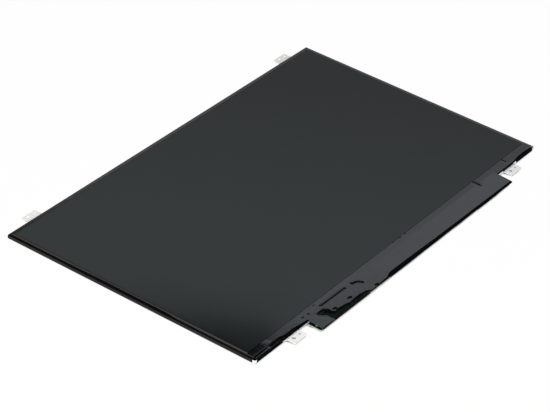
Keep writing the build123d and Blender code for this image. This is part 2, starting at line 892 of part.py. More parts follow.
# Edge tapes: from the glass over the shoulder, down the flange and round to the back, mitred at the top
edge_path = [
    (glass_inset + tape_lap, front_level),
    (shoulder_inset, front_level),
    (tape_thick, flange_level),
    (tape_thick, border_level),
    (tape_thick + rear_lap, border_level),
]
mitre = glass_inset + tape_lap + rear_lap
side_tapes = {"edge_tape_left": (-1, bare_corner), "edge_tape_right": (1, closed_corner)}
for tape_name, (side, corner_gap) in side_tapes.items():
    outer = side * half_width
    inner = side * (half_width - mitre)
    glass_edge = side * glass_x
    with BuildPart() as edge_tape:
        with BuildSketch(Plane.XZ.offset(-half_height)):
            outline = [(side * (half_width - inset), level) for inset, level in edge_path]
            folded_strip(outline, Side.RIGHT if side < 0 else Side.LEFT, tape_thick)
        extrude(amount=body_height - corner_gap)
        top_corner = [(outer, half_height), (inner, half_height), (inner, half_height - mitre)]
        slab(top_corner, -tape_thick, front_level + 2 * tape_thick, Mode.SUBTRACT)
        lap = sorted((glass_edge, inner))
        block(*lap, -half_height, tape_edge, flange_level, front_level + 2 * tape_thick, Mode.SUBTRACT)
        low_corner = [(glass_edge, filter_low), (outer, -half_height), (glass_edge, -half_height)]
        slab(low_corner, flange_level, front_level + 2 * tape_thick, Mode.SUBTRACT)
    edge_tape.part.label = tape_name
    export_step(edge_tape.part, f"parts/{tape_name}.step")

with BuildPart() as edge_tape_top:
    with BuildSketch(Plane.YZ.offset(-half_width)):
        folded_strip([(half_height - inset, level) for inset, level in edge_path], Side.LEFT, tape_thick)
    extrude(amount=body_width)
    for side in (-1, 1):
        outer = side * half_width
        inner = side * (half_width - mitre)
        side_corner = [(outer, half_height), (outer, half_height - mitre), (inner, half_height - mitre)]
        slab(side_corner, -tape_thick, front_level + 2 * tape_thick, Mode.SUBTRACT)
    for screw_x, side, hole_reach, reach in ears:
        if side > 0:
            block(
                screw_x - ear_lead - ear_relief,
                screw_x - ear_lead + ear_width + ear_relief,
                half_height - mitre,
                half_height,
                0,
                ear_level + cover_sheet + ear_relief,
                Mode.SUBTRACT,
            )
edge_tape_top.part.label = "edge_tape_top"
export_step(edge_tape_top.part, "parts/edge_tape_top.step")

# Cover tape: along the lower border of the glass, down over the side, and out to the board's low edge
border_path = [(tape_edge, front_level), (filter_low, front_level)]
fold = (array_low - fold_reach, filter_level + driver_film_thick + fold_lift)
side_path = border_path + [fold, (-cover_y, flange_level)]
corner_path = side_path + [(-cover_y, seat_level)]
skirt_path = side_path + [(-cover_y, ear_level + cover_sheet + skirt_gap)]
free_path = border_path + [fold, (-half_height, fold[1] - free_edge_drop)]
bare_path = border_path + [
    (board_low + edge_roll, board_top + roll_lift),
    (board_low + bare_edge, board_top),
]
wrap_path = border_path + [
    (board_low + edge_roll, board_top + roll_lift),
    (board_low, board_top),
    (board_low, board_level),
]
tongue_left = board_left + tongue_short
gap_left, gap_right = [board_left + place for place in wrap_gap]
tape_spans = [
    (-glass_x, step_left, corner_path),
    (step_left, tongue_left, skirt_path),
    (tongue_left, gap_left, wrap_path),
    (gap_left, gap_right, bare_path),
    (gap_right, board_right, wrap_path),
    (board_right, step_right, free_path),
    (step_right, glass_x, corner_path),
]
with BuildPart() as board_cover_tape:
    for span_left, span_right, path in tape_spans:
        with BuildSketch(Plane.YZ.offset(span_left)):
            folded_strip(path, Side.RIGHT, tape_thick)
        extrude(amount=span_right - span_left)
    torn = [(board_left + place, -half_height - drop) for place, drop in tear]
    slab(torn, board_level - tape_thick, front_level, Mode.SUBTRACT)
    for slit_x, slit_length in slits:
        block(
            slit_x - slit_width / 2,
            slit_x + slit_width / 2,
            tape_edge - slit_length,
            tape_edge,
            flange_level,
            front_level + 2 * tape_thick,
            Mode.SUBTRACT,
        )
board_cover_tape.part.label = "board_cover_tape"
export_step(board_cover_tape.part, "parts/board_cover_tape.step")
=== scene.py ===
# Laptop screen panel: finishes, tapes and board detail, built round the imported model
import math

import bpy
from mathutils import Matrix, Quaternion, Vector, noise


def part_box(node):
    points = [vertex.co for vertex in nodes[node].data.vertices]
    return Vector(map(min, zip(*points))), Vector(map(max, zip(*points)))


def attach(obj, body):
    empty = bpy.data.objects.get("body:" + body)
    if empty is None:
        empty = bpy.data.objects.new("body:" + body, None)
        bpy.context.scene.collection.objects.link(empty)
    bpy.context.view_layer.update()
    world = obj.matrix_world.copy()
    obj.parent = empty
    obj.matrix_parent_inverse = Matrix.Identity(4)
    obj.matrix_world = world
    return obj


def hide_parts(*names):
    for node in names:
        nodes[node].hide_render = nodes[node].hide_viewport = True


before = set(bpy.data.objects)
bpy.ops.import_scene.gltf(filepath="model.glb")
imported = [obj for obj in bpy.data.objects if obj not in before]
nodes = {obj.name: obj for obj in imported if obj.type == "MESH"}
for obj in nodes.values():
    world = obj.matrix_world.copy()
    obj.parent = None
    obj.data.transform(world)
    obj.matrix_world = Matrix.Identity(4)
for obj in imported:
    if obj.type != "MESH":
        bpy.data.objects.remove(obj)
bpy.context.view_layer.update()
mm = 0.001
plainAngle = 40  # degrees: edges sharper than this stay sharp
print("frame loaded:", len(nodes), "nodes")


# Camera, at the photograph's viewing angle

cameraSetup = {
    "place": (-1.1313, -0.6896, 0.8553),
    "heading": 58.470,  # degrees from +Y towards +X
    "pitch": 33.184,  # degrees below the horizon
    "roll": 6.790,
    "lens": 161.78,
    "sensor": 36.0,
    "clip": (0.01, 50.0),
}


def setCamera(setup):
    heading = math.radians(setup["heading"])
    pitch = math.radians(setup["pitch"])
    look = Vector((
        math.sin(heading) * math.cos(pitch),
        math.cos(heading) * math.cos(pitch),
        -math.sin(pitch),
    ))
    bpy.ops.object.camera_add(location=setup["place"])
    camera = bpy.context.object
    camera.rotation_mode = "QUATERNION"
    turn = Quaternion((0, 0, 1), math.radians(setup["roll"]))
    camera.rotation_quaternion = look.to_track_quat("-Z", "Y") @ turn
    camera.data.sensor_width = setup["sensor"]
    camera.data.lens = setup["lens"]
    camera.data.clip_start, camera.data.clip_end = setup["clip"]
    bpy.context.scene.camera = camera


setCamera(cameraSetup)
print("camera set")


# Studio: white sweep behind the panel, a soft lamp at the camera's side, white floor with a painted
# contact shadow

studio = {
    "sweepLeft": (-40.0, -10.0),  # headings in degrees from +Y towards +X: none, and full white
    "sweepRight": (75.0, 71.0),
    "sweepRise": ((58.7, 36.0), (65.1, 42.05)),  # heading and elevation of its upper edge, which rises
    "sweepSoft": 0.45,  # degrees
    "sweepFade": ((30.15, 0.58), (35.15, 1.1)),  # elevation and level: dimmer towards the floor
    "roomLevel": 0.03,
    "floorSize": 8.0,
    "floorDrop": 0.00002,
    "floorColor": (0.9, 0.9, 0.9),
    "floorGlow": 0.97,  # share of the paper seen as plain white
    # the floor's glow is dimmed by ambient occlusion near the panel: a painted contact shadow, not cast by
    # the lamp
    "contactReach": 0.006,
    "contactSamples": 16,
    "contactLean": (0.15, 0.6, 0.78),  # towards the light, so the painted shade falls on the near side
    "paintedShadeRange": (0.1, 0.44),
    "lampPlace": (-1.3, -0.9, 1.2),
    "lampSize": 1.2,
    "lampPower": 54.0,
}


def node(tree, kind, **settings):
    made = tree.nodes.new(kind)
    for key, value in settings.items():
        setattr(made, key, value)
    return made


def mathNode(tree, operation, first, second=None, clamp=False):
    made = node(tree, "ShaderNodeMath", operation=operation, use_clamp=clamp)
    for socket, value in zip(made.inputs, (first, second)):
        if value is None:
            continue
        if isinstance(value, (int, float)):
            socket.default_value = value
        else:
            tree.links.new(value, socket)
    return made.outputs[0]


def mapRange(tree, source, low, high, toLow=0.0, toHigh=1.0, smooth=True):
    made = node(tree, "ShaderNodeMapRange", interpolation_type="SMOOTHSTEP" if smooth else "LINEAR")
    tree.links.new(source, made.inputs["Value"])
    made.inputs["From Min"].default_value = low
    made.inputs["From Max"].default_value = high
    made.inputs["To Min"].default_value = toLow
    made.inputs["To Max"].default_value = toHigh
    return made.outputs["Result"]


def splitAxes(tree, source):
    made = node(tree, "ShaderNodeSeparateXYZ")
    tree.links.new(source, made.inputs[0])
    return made.outputs


def seenDirectly(tree, path):
    return mathNode(tree, "MAXIMUM", path.outputs["Is Camera Ray"], path.outputs["Is Transmission Ray"])


def setWorld(setup):
    world = bpy.data.worlds.new("studio")
    bpy.context.scene.world = world
    world.use_nodes = True
    tree = world.node_tree
    background = tree.nodes["Background"]
    direction = splitAxes(tree, node(tree, "ShaderNodeTexCoord").outputs["Generated"])
    heading = mathNode(tree, "ARCTAN2", direction["X"], direction["Y"])
    height = mathNode(tree, "ARCSINE", direction["Z"])
    left, right = [[math.radians(angle) for angle in setup[side]] for side in ("sweepLeft", "sweepRight")]
    fromLeft = mapRange(tree, heading, *left)
    fromRight = mapRange(tree, heading, right[1], right[0], 1.0, 0.0)
    sides = mathNode(tree, "MULTIPLY", fromLeft, fromRight)
    (startHeading, startEdge), (endHeading, endEdge) = setup["sweepRise"]
    edge = mapRange(
        tree,
        heading,
        math.radians(startHeading),
        math.radians(endHeading),
        math.radians(startEdge),
        math.radians(endEdge),
        smooth=False,
    )
    soft = math.radians(setup["sweepSoft"])
    below = mapRange(tree, mathNode(tree, "SUBTRACT", edge, height), -soft, soft)
    (lowHeight, lowLevel), (highHeight, highLevel) = setup["sweepFade"]
    fade = mapRange(
        tree, height, math.radians(lowHeight), math.radians(highHeight), lowLevel, highLevel, smooth=False
    )
    sweep = mathNode(tree, "MULTIPLY", mathNode(tree, "MULTIPLY", sides, below), fade)
    light = mathNode(tree, "MAXIMUM", sweep, setup["roomLevel"])
    seen = seenDirectly(tree, node(tree, "ShaderNodeLightPath"))
    strength = mathNode(tree, "MAXIMUM", light, seen)
    tree.links.new(strength, background.inputs["Strength"])
    background.inputs["Color"].default_value = (1, 1, 1, 1)


def setFloor(setup):
    bpy.ops.mesh.primitive_plane_add(size=setup["floorSize"], location=(0, 0, -setup["floorDrop"]))
    floor = bpy.context.object
    floor.name = "floor"
    paper = bpy.data.materials.new("floor paper")
    paper.use_nodes = True
    tree = paper.node_tree
    surface = tree.nodes["Principled BSDF"]
    surface.inputs["Base Color"].default_value = (*setup["floorColor"], 1)
    surface.inputs["Roughness"].default_value = 1.0
    surface.inputs["Specular IOR Level"].default_value = 0.0
    path = node(tree, "ShaderNodeLightPath")
    seen = mathNode(tree, "MAXIMUM", seenDirectly(tree, path), path.outputs["Is Glossy Ray"])
    # painted shadow: the glow's strength falls with ambient occlusion, so the floor darkens next to and
    # under the panel without any light being blocked
    contact = node(tree, "ShaderNodeAmbientOcclusion", samples=setup["contactSamples"])
    contact.inputs["Distance"].default_value = setup["contactReach"]
    lean = node(tree, "ShaderNodeCombineXYZ")
    for socket, value in zip(lean.inputs, setup["contactLean"]):
        socket.default_value = value
    tree.links.new(lean.outputs["Vector"], contact.inputs["Normal"])
    white = mapRange(tree, contact.outputs["AO"], *setup["paintedShadeRange"])
    glow = node(tree, "ShaderNodeEmission")
    tree.links.new(white, glow.inputs["Strength"])
    mix = node(tree, "ShaderNodeMixShader")
    tree.links.new(mathNode(tree, "MULTIPLY", seen, setup["floorGlow"]), mix.inputs["Fac"])
    tree.links.new(surface.outputs["BSDF"], mix.inputs[1])
    tree.links.new(glow.outputs["Emission"], mix.inputs[2])
    tree.links.new(mix.outputs["Shader"], tree.nodes["Material Output"].inputs["Surface"])
    floor.data.materials.append(paper)


def setLamp(setup):
    bpy.ops.object.light_add(type="AREA", location=setup["lampPlace"])
    lamp = bpy.context.object
    lamp.data.size = setup["lampSize"]
    lamp.data.energy = setup["lampPower"]
    lamp.visible_glossy = False
    lamp.rotation_mode = "QUATERNION"
    lamp.rotation_quaternion = (-Vector(setup["lampPlace"])).to_track_quat("-Z", "Y")


bpy.context.scene.view_settings.view_transform = "Standard"
setWorld(studio)
setFloor(studio)
setLamp(studio)
print("studio set")


# Finishes: each with its own variation over the surface

finishForm = {
    "colorSpread": (0.32, 0.68),  # parts of the noise between which one value turns into the other
    "glossSpread": (0.3, 0.7),
    "foldFacing": (0.25, 0.65),  # upward share of the normal, on a fold and on flat film
    "flatGloss": 0.5,
    "sideFacing": 0.5,
}


def newFinish(name, color, roughness, metallic=0.0, ior=1.5, tint=(1, 1, 1)):
    finish = bpy.data.materials.new(name)
    finish.use_nodes = True
    surface = finish.node_tree.nodes["Principled BSDF"]
    surface.inputs["Base Color"].default_value = (*color, 1)
    surface.inputs["Roughness"].default_value = roughness
    surface.inputs["Metallic"].default_value = metallic
    surface.inputs["IOR"].default_value = ior
    surface.inputs["Specular Tint"].default_value = (*tint, 1)
    return finish


def noiseNode(tree, scale, detail=3.0, stretch=(1, 1, 1)):
    place = node(tree, "ShaderNodeTexCoord").outputs["Object"]
    mapping = node(tree, "ShaderNodeMapping")
    mapping.inputs["Scale"].default_value = stretch
    tree.links.new(place, mapping.inputs["Vector"])
    made = node(tree, "ShaderNodeTexNoise")
    made.inputs["Scale"].default_value = scale
    made.inputs["Detail"].default_value = detail
    tree.links.new(mapping.outputs["Vector"], made.inputs["Vector"])
    return made.outputs["Fac"]


def varyColor(finish, first, second, scale, detail=3.0, stretch=(1, 1, 1)):
    tree = finish.node_tree
    ramp = node(tree, "ShaderNodeValToRGB")
    spread = finishForm["colorSpread"]
    for element, position, color in zip(ramp.color_ramp.elements, spread, (first, second)):
        element.position = position
        element.color = (*color, 1)
    tree.links.new(noiseNode(tree, scale, detail, stretch), ramp.inputs["Fac"])
    tree.links.new(ramp.outputs["Color"], tree.nodes["Principled BSDF"].inputs["Base Color"])


def varyRoughness(finish, low, high, scale, detail=3.0, stretch=(1, 1, 1)):
    tree = finish.node_tree
    grain = noiseNode(tree, scale, detail, stretch)
    gloss = mapRange(tree, grain, *finishForm["glossSpread"], low, high, smooth=False)
    tree.links.new(gloss, tree.nodes["Principled BSDF"].inputs["Roughness"])


def addGrain(finish, scale, depth, strength=1.0, detail=3.0, stretch=(1, 1, 1)):
    tree = finish.node_tree
    bump = node(tree, "ShaderNodeBump")
    bump.inputs["Strength"].default_value = strength
    bump.inputs["Distance"].default_value = depth
    tree.links.new(noiseNode(tree, scale, detail, stretch), bump.inputs["Height"])
    tree.links.new(bump.outputs["Normal"], tree.nodes["Principled BSDF"].inputs["Normal"])


def upwardShare(tree):
    return splitAxes(tree, node(tree, "ShaderNodeNewGeometry").outputs["Normal"])["Z"]


def dullFolds(finish, level):
    tree = finish.node_tree
    upward = mathNode(tree, "ABSOLUTE", upwardShare(tree))
    gloss = mapRange(tree, upward, *finishForm["foldFacing"], level, finishForm["flatGloss"])
    tree.links.new(gloss, tree.nodes["Principled BSDF"].inputs["Specular IOR Level"])


def layOver(finish, mask, color):
    tree = finish.node_tree
    base = tree.nodes["Principled BSDF"].inputs["Base Color"]
    mix = node(tree, "ShaderNodeMix", data_type="RGBA")
    tree.links.new(mask, mix.inputs["Factor"])
    tree.links.new(base.links[0].from_socket, mix.inputs["A"])
    if isinstance(color, tuple):
        mix.inputs["B"].default_value = (*color, 1)
    else:
        tree.links.new(color, mix.inputs["B"])
    tree.links.new(mix.outputs["Result"], base)


rolledSheet = newFinish("rolled sheet", (0.96, 0.945, 0.925), 0.18, 0.16)
varyColor(rolledSheet, (0.945, 0.93, 0.91), (0.97, 0.955, 0.935), 60, 4, (1, 14, 14))
varyRoughness(rolledSheet, 0.14, 0.19, 90, 4, (1, 18, 18))
addGrain(rolledSheet, 400, 0.000003, 0.04, 3, (0.15, 3, 3))

screenFace = newFinish("screen face", (0.0056, 0.0084, 0.0085), 0.06, 0.0, 1.285, (0.84, 0.98, 1.0))
varyColor(screenFace, (0.0051, 0.0079, 0.0080), (0.0062, 0.0090, 0.0091), 30, 4)
varyRoughness(screenFace, 0.05, 0.075, 25, 3)
addGrain(screenFace, 5000, 0.000002, 0.08, 2)


def darkBorder(finish, half, low, high, color):
    tree = finish.node_tree
    place = splitAxes(tree, node(tree, "ShaderNodeTexCoord").outputs["Object"])
    beside = mathNode(tree, "GREATER_THAN", mathNode(tree, "ABSOLUTE", place["X"]), half * mm)
    below = mathNode(tree, "LESS_THAN", place["Y"], low * mm)
    above = mathNode(tree, "GREATER_THAN", place["Y"], high * mm)
    layOver(finish, mathNode(tree, "MAXIMUM", beside, mathNode(tree, "MAXIMUM", below, above)), color)


pictureArea = {"half": 154.7, "low": -84.95, "high": 89.0}  # the border lies outside it
darkBorder(screenFace, color=(0.0068, 0.0062, 0.0062), **pictureArea)

coverFilm = newFinish("cover film", (0.0013, 0.0018, 0.0026), 0.07, 0.0, 1.5, (0.78, 0.89, 1.0))
varyColor(coverFilm, (0.0009, 0.0013, 0.0020), (0.0018, 0.0024, 0.0033), 140, 4)
varyRoughness(coverFilm, 0.05, 0.1, 220, 4)
addGrain(coverFilm, 700, 0.000006, 0.2, 3)
dullFolds(coverFilm, 0.0)

edgeFilm = newFinish("edge tape", (0.0026, 0.0021, 0.0020), 0.09, 0.0, 1.47, (1.0, 0.95, 0.94))
varyColor(edgeFilm, (0.0018, 0.0015, 0.0014), (0.0040, 0.0032, 0.0030), 180, 4)
varyRoughness(edgeFilm, 0.07, 0.13, 260, 4)
addGrain(edgeFilm, 600, 0.000008, 0.25, 3)
dullFolds(edgeFilm, 0.27)

cellGlass = newFinish("cell glass", (0.003, 0.004, 0.004), 0.06, 0.0, 1.12)
varyColor(cellGlass, (0.002, 0.003, 0.003), (0.004, 0.005, 0.005), 80, 3)
varyRoughness(cellGlass, 0.05, 0.08, 60, 3)

framePlastic = newFinish("frame plastic", (0.004, 0.004, 0.004), 0.5, 0.0, 1.4)
varyColor(framePlastic, (0.003, 0.003, 0.003), (0.006, 0.006, 0.006), 120, 4)
addGrain(framePlastic, 2500, 0.000008, 0.4, 2)

boardMask = newFinish("board mask", (0.0008, 0.005, 0.0022), 0.35, 0.0, 1.12)
varyColor(boardMask, (0.0005, 0.0025, 0.0012), (0.0014, 0.009, 0.004), 700, 3, (1, 4, 1))


boardForm = {
    "trackRun": 9.0,
    "trackPitch": 0.9,
    "trackWidth": 0.09,
    "trackShift": 0.37,
    "viaScale": 0.3,  # cells to the millimetre
    "viaSize": 0.06,
    "rearFacing": -0.5,
    "track": (0.006, 0.026, 0.012),
    "via": (0.30, 0.27, 0.18),
    "edges": ((0.22, 0.31, 0.21), (0.42, 0.50, 0.38)),
    "edgeGrain": (900, 3, (0.3, 0.3, 6)),  # scale, detail and stretch
}


def paleEdges(finish, form):
    tree = finish.node_tree
    grain = node(tree, "ShaderNodeValToRGB")
    for element, color in zip(grain.color_ramp.elements, form["edges"]):
        element.color = (*color, 1)
    tree.links.new(noiseNode(tree, *form["edgeGrain"]), grain.inputs["Fac"])
    upward = mathNode(tree, "ABSOLUTE", upwardShare(tree))
    side = mathNode(tree, "LESS_THAN", upward, finishForm["sideFacing"])
    layOver(finish, side, grain.outputs["Color"])


def addTraces(finish, form):
    tree = finish.node_tree
    place = node(tree, "ShaderNodeTexCoord").outputs["Object"]
    tracks = node(tree, "ShaderNodeTexBrick", offset=form["trackShift"])
    tracks.inputs["Scale"].default_value = 1 / mm
    tracks.inputs["Mortar Size"].default_value = form["trackWidth"]
    tracks.inputs["Brick Width"].default_value = form["trackRun"]
    tracks.inputs["Row Height"].default_value = form["trackPitch"]
    tree.links.new(place, tracks.inputs["Vector"])
    holes = node(tree, "ShaderNodeTexVoronoi")
    holes.inputs["Scale"].default_value = form["viaScale"] / mm
    tree.links.new(place, holes.inputs["Vector"])
    dots = mathNode(tree, "LESS_THAN", holes.outputs["Distance"], form["viaSize"])
    rear = mathNode(tree, "LESS_THAN", upwardShare(tree), form["rearFacing"])
    for mask, color in ((tracks.outputs["Fac"], form["track"]), (dots, form["via"])):
        layOver(finish, mathNode(tree, "MULTIPLY", mask, rear), color)


addTraces(boardMask, boardForm)
paleEdges(boardMask, boardForm)

plainFinishes = {  # base, second colour, roughness, metallic, grain scale
    "white reflector": ((0.90, 0.91, 0.91), (0.93, 0.94, 0.94), 0.45, 0.0, 200),
    "light guide": ((0.82, 0.87, 0.87), (0.86, 0.90, 0.90), 0.08, 0.0, 90),
    "strip flex": ((0.84, 0.82, 0.76), (0.90, 0.88, 0.82), 0.5, 0.0, 500),
    "lamp white": ((0.90, 0.88, 0.78), (0.94, 0.92, 0.84), 0.4, 0.0, 700),
    "optical film": ((0.83, 0.85, 0.86), (0.87, 0.89, 0.90), 0.3, 0.0, 150),
    "black adhesive": ((0.010, 0.010, 0.010), (0.018, 0.018, 0.018), 0.7, 0.0, 400),
    "dark polariser": ((0.028, 0.032, 0.037), (0.034, 0.038, 0.043), 0.15, 0.0, 60),
    "driver film": ((0.36, 0.17, 0.04), (0.47, 0.25, 0.07), 0.22, 0.0, 600),
    "silicon": ((0.08, 0.08, 0.09), (0.12, 0.12, 0.13), 0.15, 0.0, 900),
    "tinned steel": ((0.68, 0.67, 0.65), (0.76, 0.75, 0.73), 0.26, 1.0, 500),
    "connector plastic": ((0.020, 0.020, 0.020), (0.034, 0.034, 0.034), 0.5, 0.0, 800),
    "light socket": ((0.74, 0.70, 0.58), (0.81, 0.77, 0.66), 0.45, 0.0, 700),
    "contact gold": ((0.80, 0.58, 0.24), (0.86, 0.66, 0.32), 0.2, 1.0, 1200),
    "chip black": ((0.022, 0.022, 0.024), (0.036, 0.036, 0.038), 0.55, 0.0, 1500),
    "ferrite": ((0.075, 0.075, 0.080), (0.105, 0.105, 0.110), 0.6, 0.0, 1200),
    "capacitor ceramic": ((0.43, 0.32, 0.21), (0.52, 0.40, 0.27), 0.4, 0.0, 1500),
    "resistor ceramic": ((0.030, 0.030, 0.034), (0.050, 0.050, 0.055), 0.35, 0.0, 1500),
    "solder tin": ((0.70, 0.70, 0.70), (0.80, 0.80, 0.79), 0.24, 1.0, 1500),
}
plainGrain = {
    "glossRange": (0.85, 1.2),  # shares of the roughness
    "glossScale": 1.7,  # this and the next against the colour's scale
    "bumpScale": 3,
    "bumpDepth": 0.000004,
    "bumpStrength": 0.3,
}
finishes = {}
for name, (first, second, roughness, metallic, scale) in plainFinishes.items():
    finish = newFinish(name, first, roughness, metallic)
    low, high = [share * roughness for share in plainGrain["glossRange"]]
    bumpScale = plainGrain["bumpScale"] * scale
    varyColor(finish, first, second, scale, 4)
    varyRoughness(finish, low, high, plainGrain["glossScale"] * scale, 3)
    addGrain(finish, bumpScale, plainGrain["bumpDepth"], plainGrain["bumpStrength"], 2)
    finishes[name] = finish

nodeFinishes = {
    "rear_cover": rolledSheet,
    "mould_frame": framePlastic,
    "reflector_sheet": finishes["white reflector"],
    "light_guide_plate": finishes["light guide"],
    "led_strip": finishes["strip flex"],
    "led_packages": finishes["lamp white"],
    "rim_tape": finishes["black adhesive"],
    "rear_polariser": finishes["dark polariser"],
    "array_glass": cellGlass,
    "colour_filter_glass": cellGlass,
    "front_polariser": screenFace,
    "circuit_board": boardMask,
    "signal_connector_shell": finishes["tinned steel"],
    "signal_connector_body": finishes["connector plastic"],
    "signal_connector_contacts": finishes["contact gold"],
    "backlight_connector": finishes["light socket"],
    "backlight_contacts": finishes["contact gold"],
    "power_inductors": finishes["ferrite"],
    "ceramic_capacitors": finishes["capacitor ceramic"],
    "output_capacitors": finishes["capacitor ceramic"],
    "chip_resistors": finishes["resistor ceramic"],
}
for name in ("lower_diffuser", "lower_prism_sheet", "upper_prism_sheet", "upper_diffuser"):
    nodeFinishes[name] = finishes["optical film"]
controllers = ("timing_controller", "power_controller", "backlight_controller")
for name in controllers + ("reference_voltage_chip", "memory_chip", "diodes"):
    nodeFinishes[name] = finishes["chip black"]
for number in ("1", "2", "3"):
    nodeFinishes["driver_film_" + number] = finishes["driver film"]
    nodeFinishes["driver_chip_" + number] = finishes["silicon"]
for name in ("edge_tape_left", "edge_tape_right", "edge_tape_top"):
    nodeFinishes[name] = edgeFilm
nodeFinishes["board_cover_tape"] = coverFilm
for name, item in nodes.items():
    item.data.materials.clear()
    item.data.materials.append(nodeFinishes[name])
print("finishes set")


# Sheets of tape: a grid laid along a folded path, then given its thickness

bendForm = {
    "share": 0.45,  # a bend takes up this much of the run on each side of it at most
    "steps": 5,
}


def roundedPath(corners, reach):
    share = bendForm["share"]
    steps = bendForm["steps"]
    corners = [Vector(corner) for corner in corners]
    path = [corners[0]]
    for before, corner, after in zip(corners, corners[1:], corners[2:]):
        start = corner + (before - corner).normalized() * min(reach, (before - corner).length * share)
        end = corner + (after - corner).normalized() * min(reach, (after - corner).length * share)
        for step in range(steps + 1):
            t = step / steps
            path.append(start * (1 - t) ** 2 + corner * (2 * t * (1 - t)) + end * t ** 2)
    path.append(corners[-1])
    return path


def spreadAlong(path, count):
    lengths = [0.0]
    for before, after in zip(path, path[1:]):
        lengths.append(lengths[-1] + (after - before).length)
    spread = []
    k = 0
    for i in range(count):
        goal = lengths[-1] * i / (count - 1)
        while k < len(path) - 2 and lengths[k + 1] < goal:
            k += 1
        part = (goal - lengths[k]) / max(lengths[k + 1] - lengths[k], 1e-9)
        spread.append(path[k].lerp(path[k + 1], min(part, 1.0)))
    return spread


def between(x, pairs):
    if x <= pairs[0][0]:
        return pairs[0][1]
    for (x0, y0), (x1, y1) in zip(pairs, pairs[1:]):
        if x <= x1:
            return y0 + (y1 - y0) * (x - x0) / (x1 - x0)
    return pairs[-1][1]


def insidePolygon(x, y, polygon):
    inside = False
    for (x0, y0), (x1, y1) in zip(polygon, polygon[1:] + polygon[:1]):
        if (y0 > y) != (y1 > y) and x < x0 + (x1 - x0) * (y - y0) / (y1 - y0):
            inside = not inside
    return inside


def layGrid(name, columns, rows, place):
    bpy.ops.object.select_all(action="DESELECT")
    bpy.ops.mesh.primitive_grid_add(x_subdivisions=columns - 1, y_subdivisions=rows - 1, size=2)
    piece = bpy.context.object
    piece.name = name
    for vertex in piece.data.vertices:
        column = round((vertex.co.x + 1) / 2 * (columns - 1))
        row = rows - 1 - round((vertex.co.y + 1) / 2 * (rows - 1))
        vertex.co = Vector(place(column, row)) * mm
    return piece


def cutFaces(piece, unwanted):
    bpy.ops.object.mode_set(mode="EDIT")
    bpy.ops.mesh.select_mode(type="FACE")
    bpy.ops.mesh.select_all(action="DESELECT")
    bpy.ops.object.mode_set(mode="OBJECT")
    for face in piece.data.polygons:
        face.select = unwanted(*(face.center / mm))
    bpy.ops.object.mode_set(mode="EDIT")
    bpy.ops.mesh.delete(type="FACE")
    bpy.ops.object.mode_set(mode="OBJECT")


def flipFaces():
    bpy.ops.object.mode_set(mode="EDIT")
    bpy.ops.mesh.select_all(action="SELECT")
    bpy.ops.mesh.flip_normals()
    bpy.ops.object.mode_set(mode="OBJECT")


def finishSheet(piece, thick, finish, smoothAngle=plainAngle):
    wall = piece.modifiers.new("wall", "SOLIDIFY")
    wall.thickness = thick * mm
    wall.offset = 1.0
    wall.use_even_offset = False
    bpy.ops.object.modifier_apply(modifier=wall.name)
    bpy.ops.object.shade_smooth_by_angle(angle=math.radians(smoothAngle))
    piece.data.materials.append(finish)
    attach(piece, "root")


# Cover tape: flat on the glass border, over to the board's low edge, down the side beyond it

